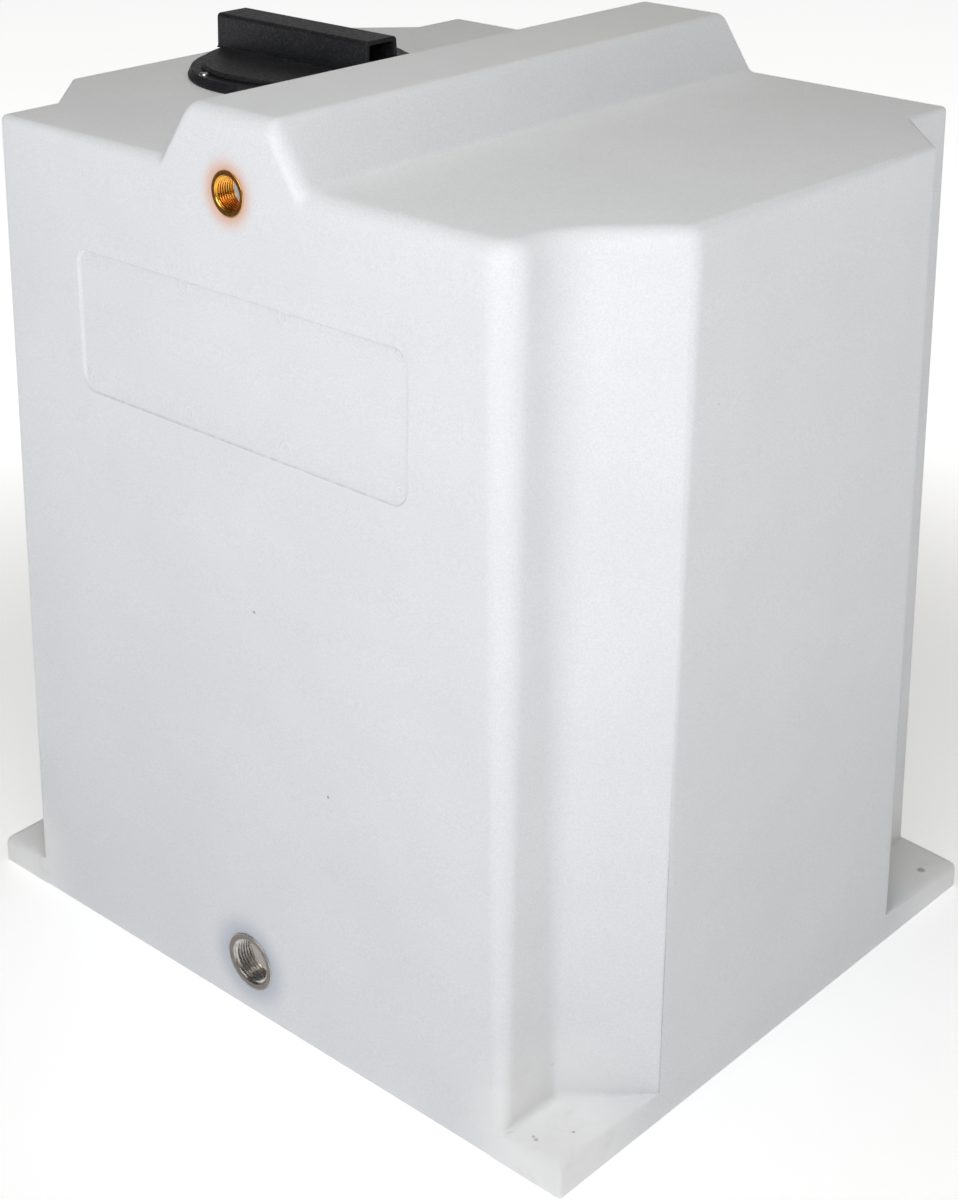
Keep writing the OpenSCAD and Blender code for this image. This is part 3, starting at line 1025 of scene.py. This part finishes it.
def tank_plastic():
    """Milky polyethylene: light enters it, so edges are soft; the brass's glow and the steel's shade through
    it are painted on.
    """
    n = Nodes("tank_plastic")
    upper, lower = (0, front_y(UPPER_AXIS[2]), UPPER_AXIS[2]), (0, front_y(LOWER_AXIS[2]), LOWER_AXIS[2])
    upper_r, lower_r = (UPPER_HI.z - UPPER_LO.z) / 2, (LOWER_HI.z - LOWER_LO.z) / 2
    cloud = n.ramp(n.noise(9, 3, 0.55), 0.3, 0.7)
    base = n.mix((0.805, 0.815, 0.842), (0.835, 0.845, 0.872), cloud)
    grain = n.ramp(n.noise(850, 2, 0.7), 0.3, 0.7)
    base = n.mix(base, (0.66, 0.665, 0.68), n.math("MULTIPLY", grain, 0.4))
    # painted light: the corner feet are painted whiter than the body, standing in for the brighter light they
    # catch; the same mask carries their rubbed wear
    foot_light_and_wear = n.ramp(n.folded((1, 1, 1), (0, 0, 0), FOOT_AT), FOOT_FADE_START, FOOT_FADE_END, 1.0, 0.0)
    base = n.mix(base, (0.94, 0.94, 0.94), n.math("MULTIPLY", foot_light_and_wear, 0.9))
    rubbed = n.ramp(n.noise(22, 4, 0.7), 0.52, 0.7)
    base = n.mix(base, (0.66, 0.62, 0.57), n.math("MULTIPLY", n.math("MULTIPLY", foot_light_and_wear, rubbed), 0.22))
    # painted light: an orange tint round the brass insert stands in for the brass's glow through the plastic
    painted_brass_glow = n.near(upper, upper_r * 0.95, upper_r * 2.1)
    base = n.mix(base, (0.80, 0.42, 0.26), n.math("MULTIPLY", n.math("POWER", painted_brass_glow, 2.2), 0.75))
    shade = n.near(lower, lower_r * 0.97, lower_r * 2.1)
    base = n.mix(base, (0.36, 0.41, 0.52), n.math("MULTIPLY", n.math("POWER", shade, 1.6), 0.5))
    # painted shade along the mould's parting line and round the panel's step, carried by a vertex attribute
    line = n.math("MULTIPLY", n.attribute("painted_line_shade"), n.ramp(n.noise(160, 3, 0.6), 0.3, 0.6, 0.35, 1.0))
    base = n.mix(base, (0.42, 0.41, 0.40), n.math("MULTIPLY", line, 0.62))
    for centre, radius, colour in MARKS:
        ragged = n.ramp(n.noise(700, 3, 0.7), 0.25, 0.55)
        spot = n.math("MULTIPLY", n.near(centre, radius * 0.4, radius), ragged)
        base = n.mix(base, colour, n.math("MULTIPLY", spot, 0.8))
    base = n.mix(base, (0.16, 0.14, 0.12), n.math("MULTIPLY", n.specks(11, 0.0065), 0.75))
    rounds = panel_marks(n)
    base = n.mix(base, (0.93, 0.94, 0.96), n.math("MULTIPLY", rounds, 0.55))
    n.set(color=base, sss=0.45, sss_scale=0.008, specular=0.27)
    n.put((1.0, 1.0, 1.0), n.bsdf.inputs["Subsurface Radius"])
    n.set(rough=n.ramp(n.noise(60, 4, 0.6), 0.3, 0.75, 0.46, 0.6))
    n.bump((n.noise(14, 2, 0.5), 0.0009), (rounds, 0.0004), (n.noise(700, 3, 0.6), 0.00008))
    return n.mat


def black_plastic():
    n = Nodes("black_plastic")
    cloud = n.ramp(n.noise(40, 3, 0.6), 0.3, 0.7)
    base = n.mix((0.008, 0.0085, 0.010), (0.013, 0.0135, 0.016), cloud)
    fleck = n.ramp(n.noise(1000, 2, 0.7), 0.5, 0.66)
    base = n.mix(base, (0.075, 0.076, 0.082), n.math("MULTIPLY", fleck, 0.5))
    n.set(color=base, rough=n.ramp(n.noise(350, 3, 0.6), 0.3, 0.7, 0.36, 0.54), specular=0.42)
    n.bump((n.noise(950, 2, 0.65), 0.00024))
    return n.mat


def metal(name, low, high, centre, rough_lo, rough_hi, line_scale, line_depth, face=None):
    """Turned metal: fine rings round the part's own axis, along +Y. face is a dull colour for the flat
    front, with the radii between which it lies."""
    n = Nodes(name)
    tint = n.ramp(n.noise(120, 4, 0.6), 0.3, 0.7)
    base = n.mix(low, high, tint)
    flat = n.tree.nodes.new("ShaderNodeVectorMath")
    flat.operation = "MULTIPLY_ADD"
    n.link(n.coords, flat.inputs[0])
    flat.inputs[1].default_value = (1, 0, 1)
    flat.inputs[2].default_value = (-centre[0], 0, -centre[2])
    length = n.tree.nodes.new("ShaderNodeVectorMath")
    length.operation = "LENGTH"
    n.link(flat.outputs[0], length.inputs[0])
    lines = n.tree.nodes.new("ShaderNodeTexNoise")
    lines.noise_dimensions = "1D"
    lines.inputs["Scale"].default_value = line_scale
    lines.inputs["Detail"].default_value = 3
    n.link(length.outputs["Value"], lines.inputs["W"])
    rough = n.ramp(n.noise(260, 3, 0.6), 0.3, 0.7, rough_lo, rough_hi)
    if face:
        dull, inside, outside = face
        share = n.math("MULTIPLY", n.ramp(length.outputs["Value"], inside - 0.1 * MM, inside + 0.3 * MM),
                       n.ramp(length.outputs["Value"], outside - 0.2 * MM, outside + 0.2 * MM, 1.0, 0.0))
        worn = n.ramp(n.noise(330, 4, 0.65), 0.25, 0.7, 0.88, 1.0)
        share = n.math("MULTIPLY", share, worn)
        base = n.mix(base, dull, share)
        rough = n.math("ADD", rough, n.math("MULTIPLY", share, 0.25))
    n.set(color=base, metal=1.0, rough=rough)
    n.bump((lines.outputs["Fac"], line_depth), (n.noise(900, 2, 0.5), 0.00002))
    return n.mat


def seal_rubber():
    n = Nodes("seal_rubber")
    dust = n.ramp(n.noise(220, 4, 0.65), 0.45, 0.75)
    n.set(color=n.mix((0.012, 0.012, 0.012), (0.035, 0.034, 0.032), dust))
    n.set(rough=n.ramp(n.noise(500, 2, 0.5), 0.3, 0.7, 0.62, 0.82))
    n.bump((n.noise(1400, 2, 0.6), 0.00008))
    return n.mat


def floor_paint():
    n = Nodes("floor")
    cloud = n.ramp(n.noise(3, 2, 0.5), 0.3, 0.7)
    n.set(color=n.mix((0.83, 0.83, 0.83), (0.86, 0.86, 0.86), cloud), rough=0.7)
    n.put((1.0, 1.0, 1.0), n.bsdf.inputs["Emission Color"])
    n.put(n.near_far((0, 0, 0), 0.5, 1.2, FLOOR_NEAR, FLOOR_FAR), n.bsdf.inputs["Emission Strength"])
    return n.mat


def put(obj, mat):
    obj.data.materials.clear()
    obj.data.materials.append(mat)


looks = {
    "tank_plastic": tank_plastic(),
    "black_plastic": black_plastic(),
    "brass": metal("brass", (0.78, 0.36, 0.05), (0.92, 0.5, 0.10), UPPER_AXIS, 0.14, 0.24,
                   2600, 0.00002, ((0.085, 0.036, 0.010), 10.95 * MM, 13.3 * MM)),
    "stainless_steel": metal("stainless_steel", (0.46, 0.45, 0.43), (0.62, 0.61, 0.59), LOWER_AXIS, 0.2, 0.34,
                             2200, 0.00002, ((0.23, 0.20, 0.18), 16.9 * MM, 20.7 * MM)),
    "screw_steel": metal("screw_steel", (0.60, 0.60, 0.60), (0.74, 0.74, 0.73), (NECK_X, 0, 0), 0.2, 0.34,
                         900, 0.00001),
    "seal_rubber": seal_rubber(),
}
for piece in pieces.values():
    put(piece, looks[piece["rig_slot"]])
for slot_name, nodes in (("tank_plastic", ["tank_shell"]), ("brass", ["upper_insert"]),
                         ("stainless_steel", ["lower_insert"]), ("black_plastic", ["neck_ring", "lid"]),
                         ("seal_rubber", ["neck_gasket", "lid_seal"]), ("screw_steel", ["ring_screws"])):
    for node in nodes:
        put(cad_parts[node], looks[slot_name])


# ------------ light and floor
def area_light(name, azimuth, elevation, distance, size, power, target, colour=(1, 1, 1)):
    """A soft light. Azimuth 0 is in front of the -Y face and 90 on the +X side."""
    a, e = math.radians(azimuth), math.radians(elevation)
    back = Vector((math.sin(a) * math.cos(e), -math.cos(a) * math.cos(e), math.sin(e)))
    data = bpy.data.lights.new(name, "AREA")
    data.shape = "RECTANGLE"
    data.size, data.size_y = size
    data.energy = power
    data.color = colour
    obj = bpy.data.objects.new(name, data)
    bpy.context.scene.collection.objects.link(obj)
    obj.rotation_mode = "QUATERNION"
    obj.location = target + back * distance
    obj.rotation_quaternion = (-back).to_track_quat("-Z", "Y")
    obj.visible_camera = False
    return obj


def studio_world():
    """Dim where it lights the part, pale where the camera sees it beyond the floor."""
    world = bpy.data.worlds.new("studio")
    world.use_nodes = True
    tree = world.node_tree
    dim = tree.nodes["Background"]
    dim.inputs[1].default_value = WORLD_LIGHT
    pale = tree.nodes.new("ShaderNodeBackground")
    pale.inputs[0].default_value = (0.93, 0.94, 0.95, 1)
    dim.inputs[0].default_value = (0.93, 0.94, 0.95, 1)
    both = tree.nodes.new("ShaderNodeMixShader")
    tree.links.new(tree.nodes.new("ShaderNodeLightPath").outputs["Is Camera Ray"], both.inputs[0])
    tree.links.new(dim.outputs[0], both.inputs[1])
    tree.links.new(pale.outputs[0], both.inputs[2])
    tree.links.new(both.outputs[0], tree.nodes["World Output"].inputs["Surface"])
    bpy.context.scene.world = world


def floor_and_light():
    """The pale floor, which glows faintly, and the soft lights."""
    bm = bmesh.new()
    bmesh.ops.create_grid(bm, x_segments=1, y_segments=1, size=14)
    mesh = bpy.data.meshes.new("floor")
    bm.to_mesh(mesh)
    bm.free()
    floor = bpy.data.objects.new("floor", mesh)
    bpy.context.scene.collection.objects.link(floor)
    put(floor, floor_paint())
    studio_world()
    middle = Vector((0, 0, 0.3))
    area_light("key", 34, 42, 1.7, (1.2, 1.2), 15.6, middle, (0.918, 0.948, 1.0))
    area_light("overhead", 20, 78, 2.8, (2.0, 2.0), 18.4, middle, (1.0, 0.947, 0.787))
    area_light("right", 60, 20, 1.5, (1.0, 1.0), 1.05, middle, (1.0, 0.92, 0.75))
    inside = bpy.data.lights.new("inside", "POINT")
    inside.energy, inside.shadow_soft_size = 0.75, 0.05
    inside.color = (1.0, 0.88, 0.75)
    lamp = bpy.data.objects.new("inside", inside)
    lamp.location = (0, 0, 0.33)
    lamp.visible_camera = False
    bpy.context.scene.collection.objects.link(lamp)
    area_light("behind", 200, 50, 2.8, (1.6, 1.6), 3.3, middle)
    backdrop = area_light("backdrop", 222, 24, 2.6, (2.6, 1.2), 3.2, middle)
    backdrop.visible_diffuse = False


floor_and_light()
bpy.context.scene.view_settings.view_transform = "Standard"
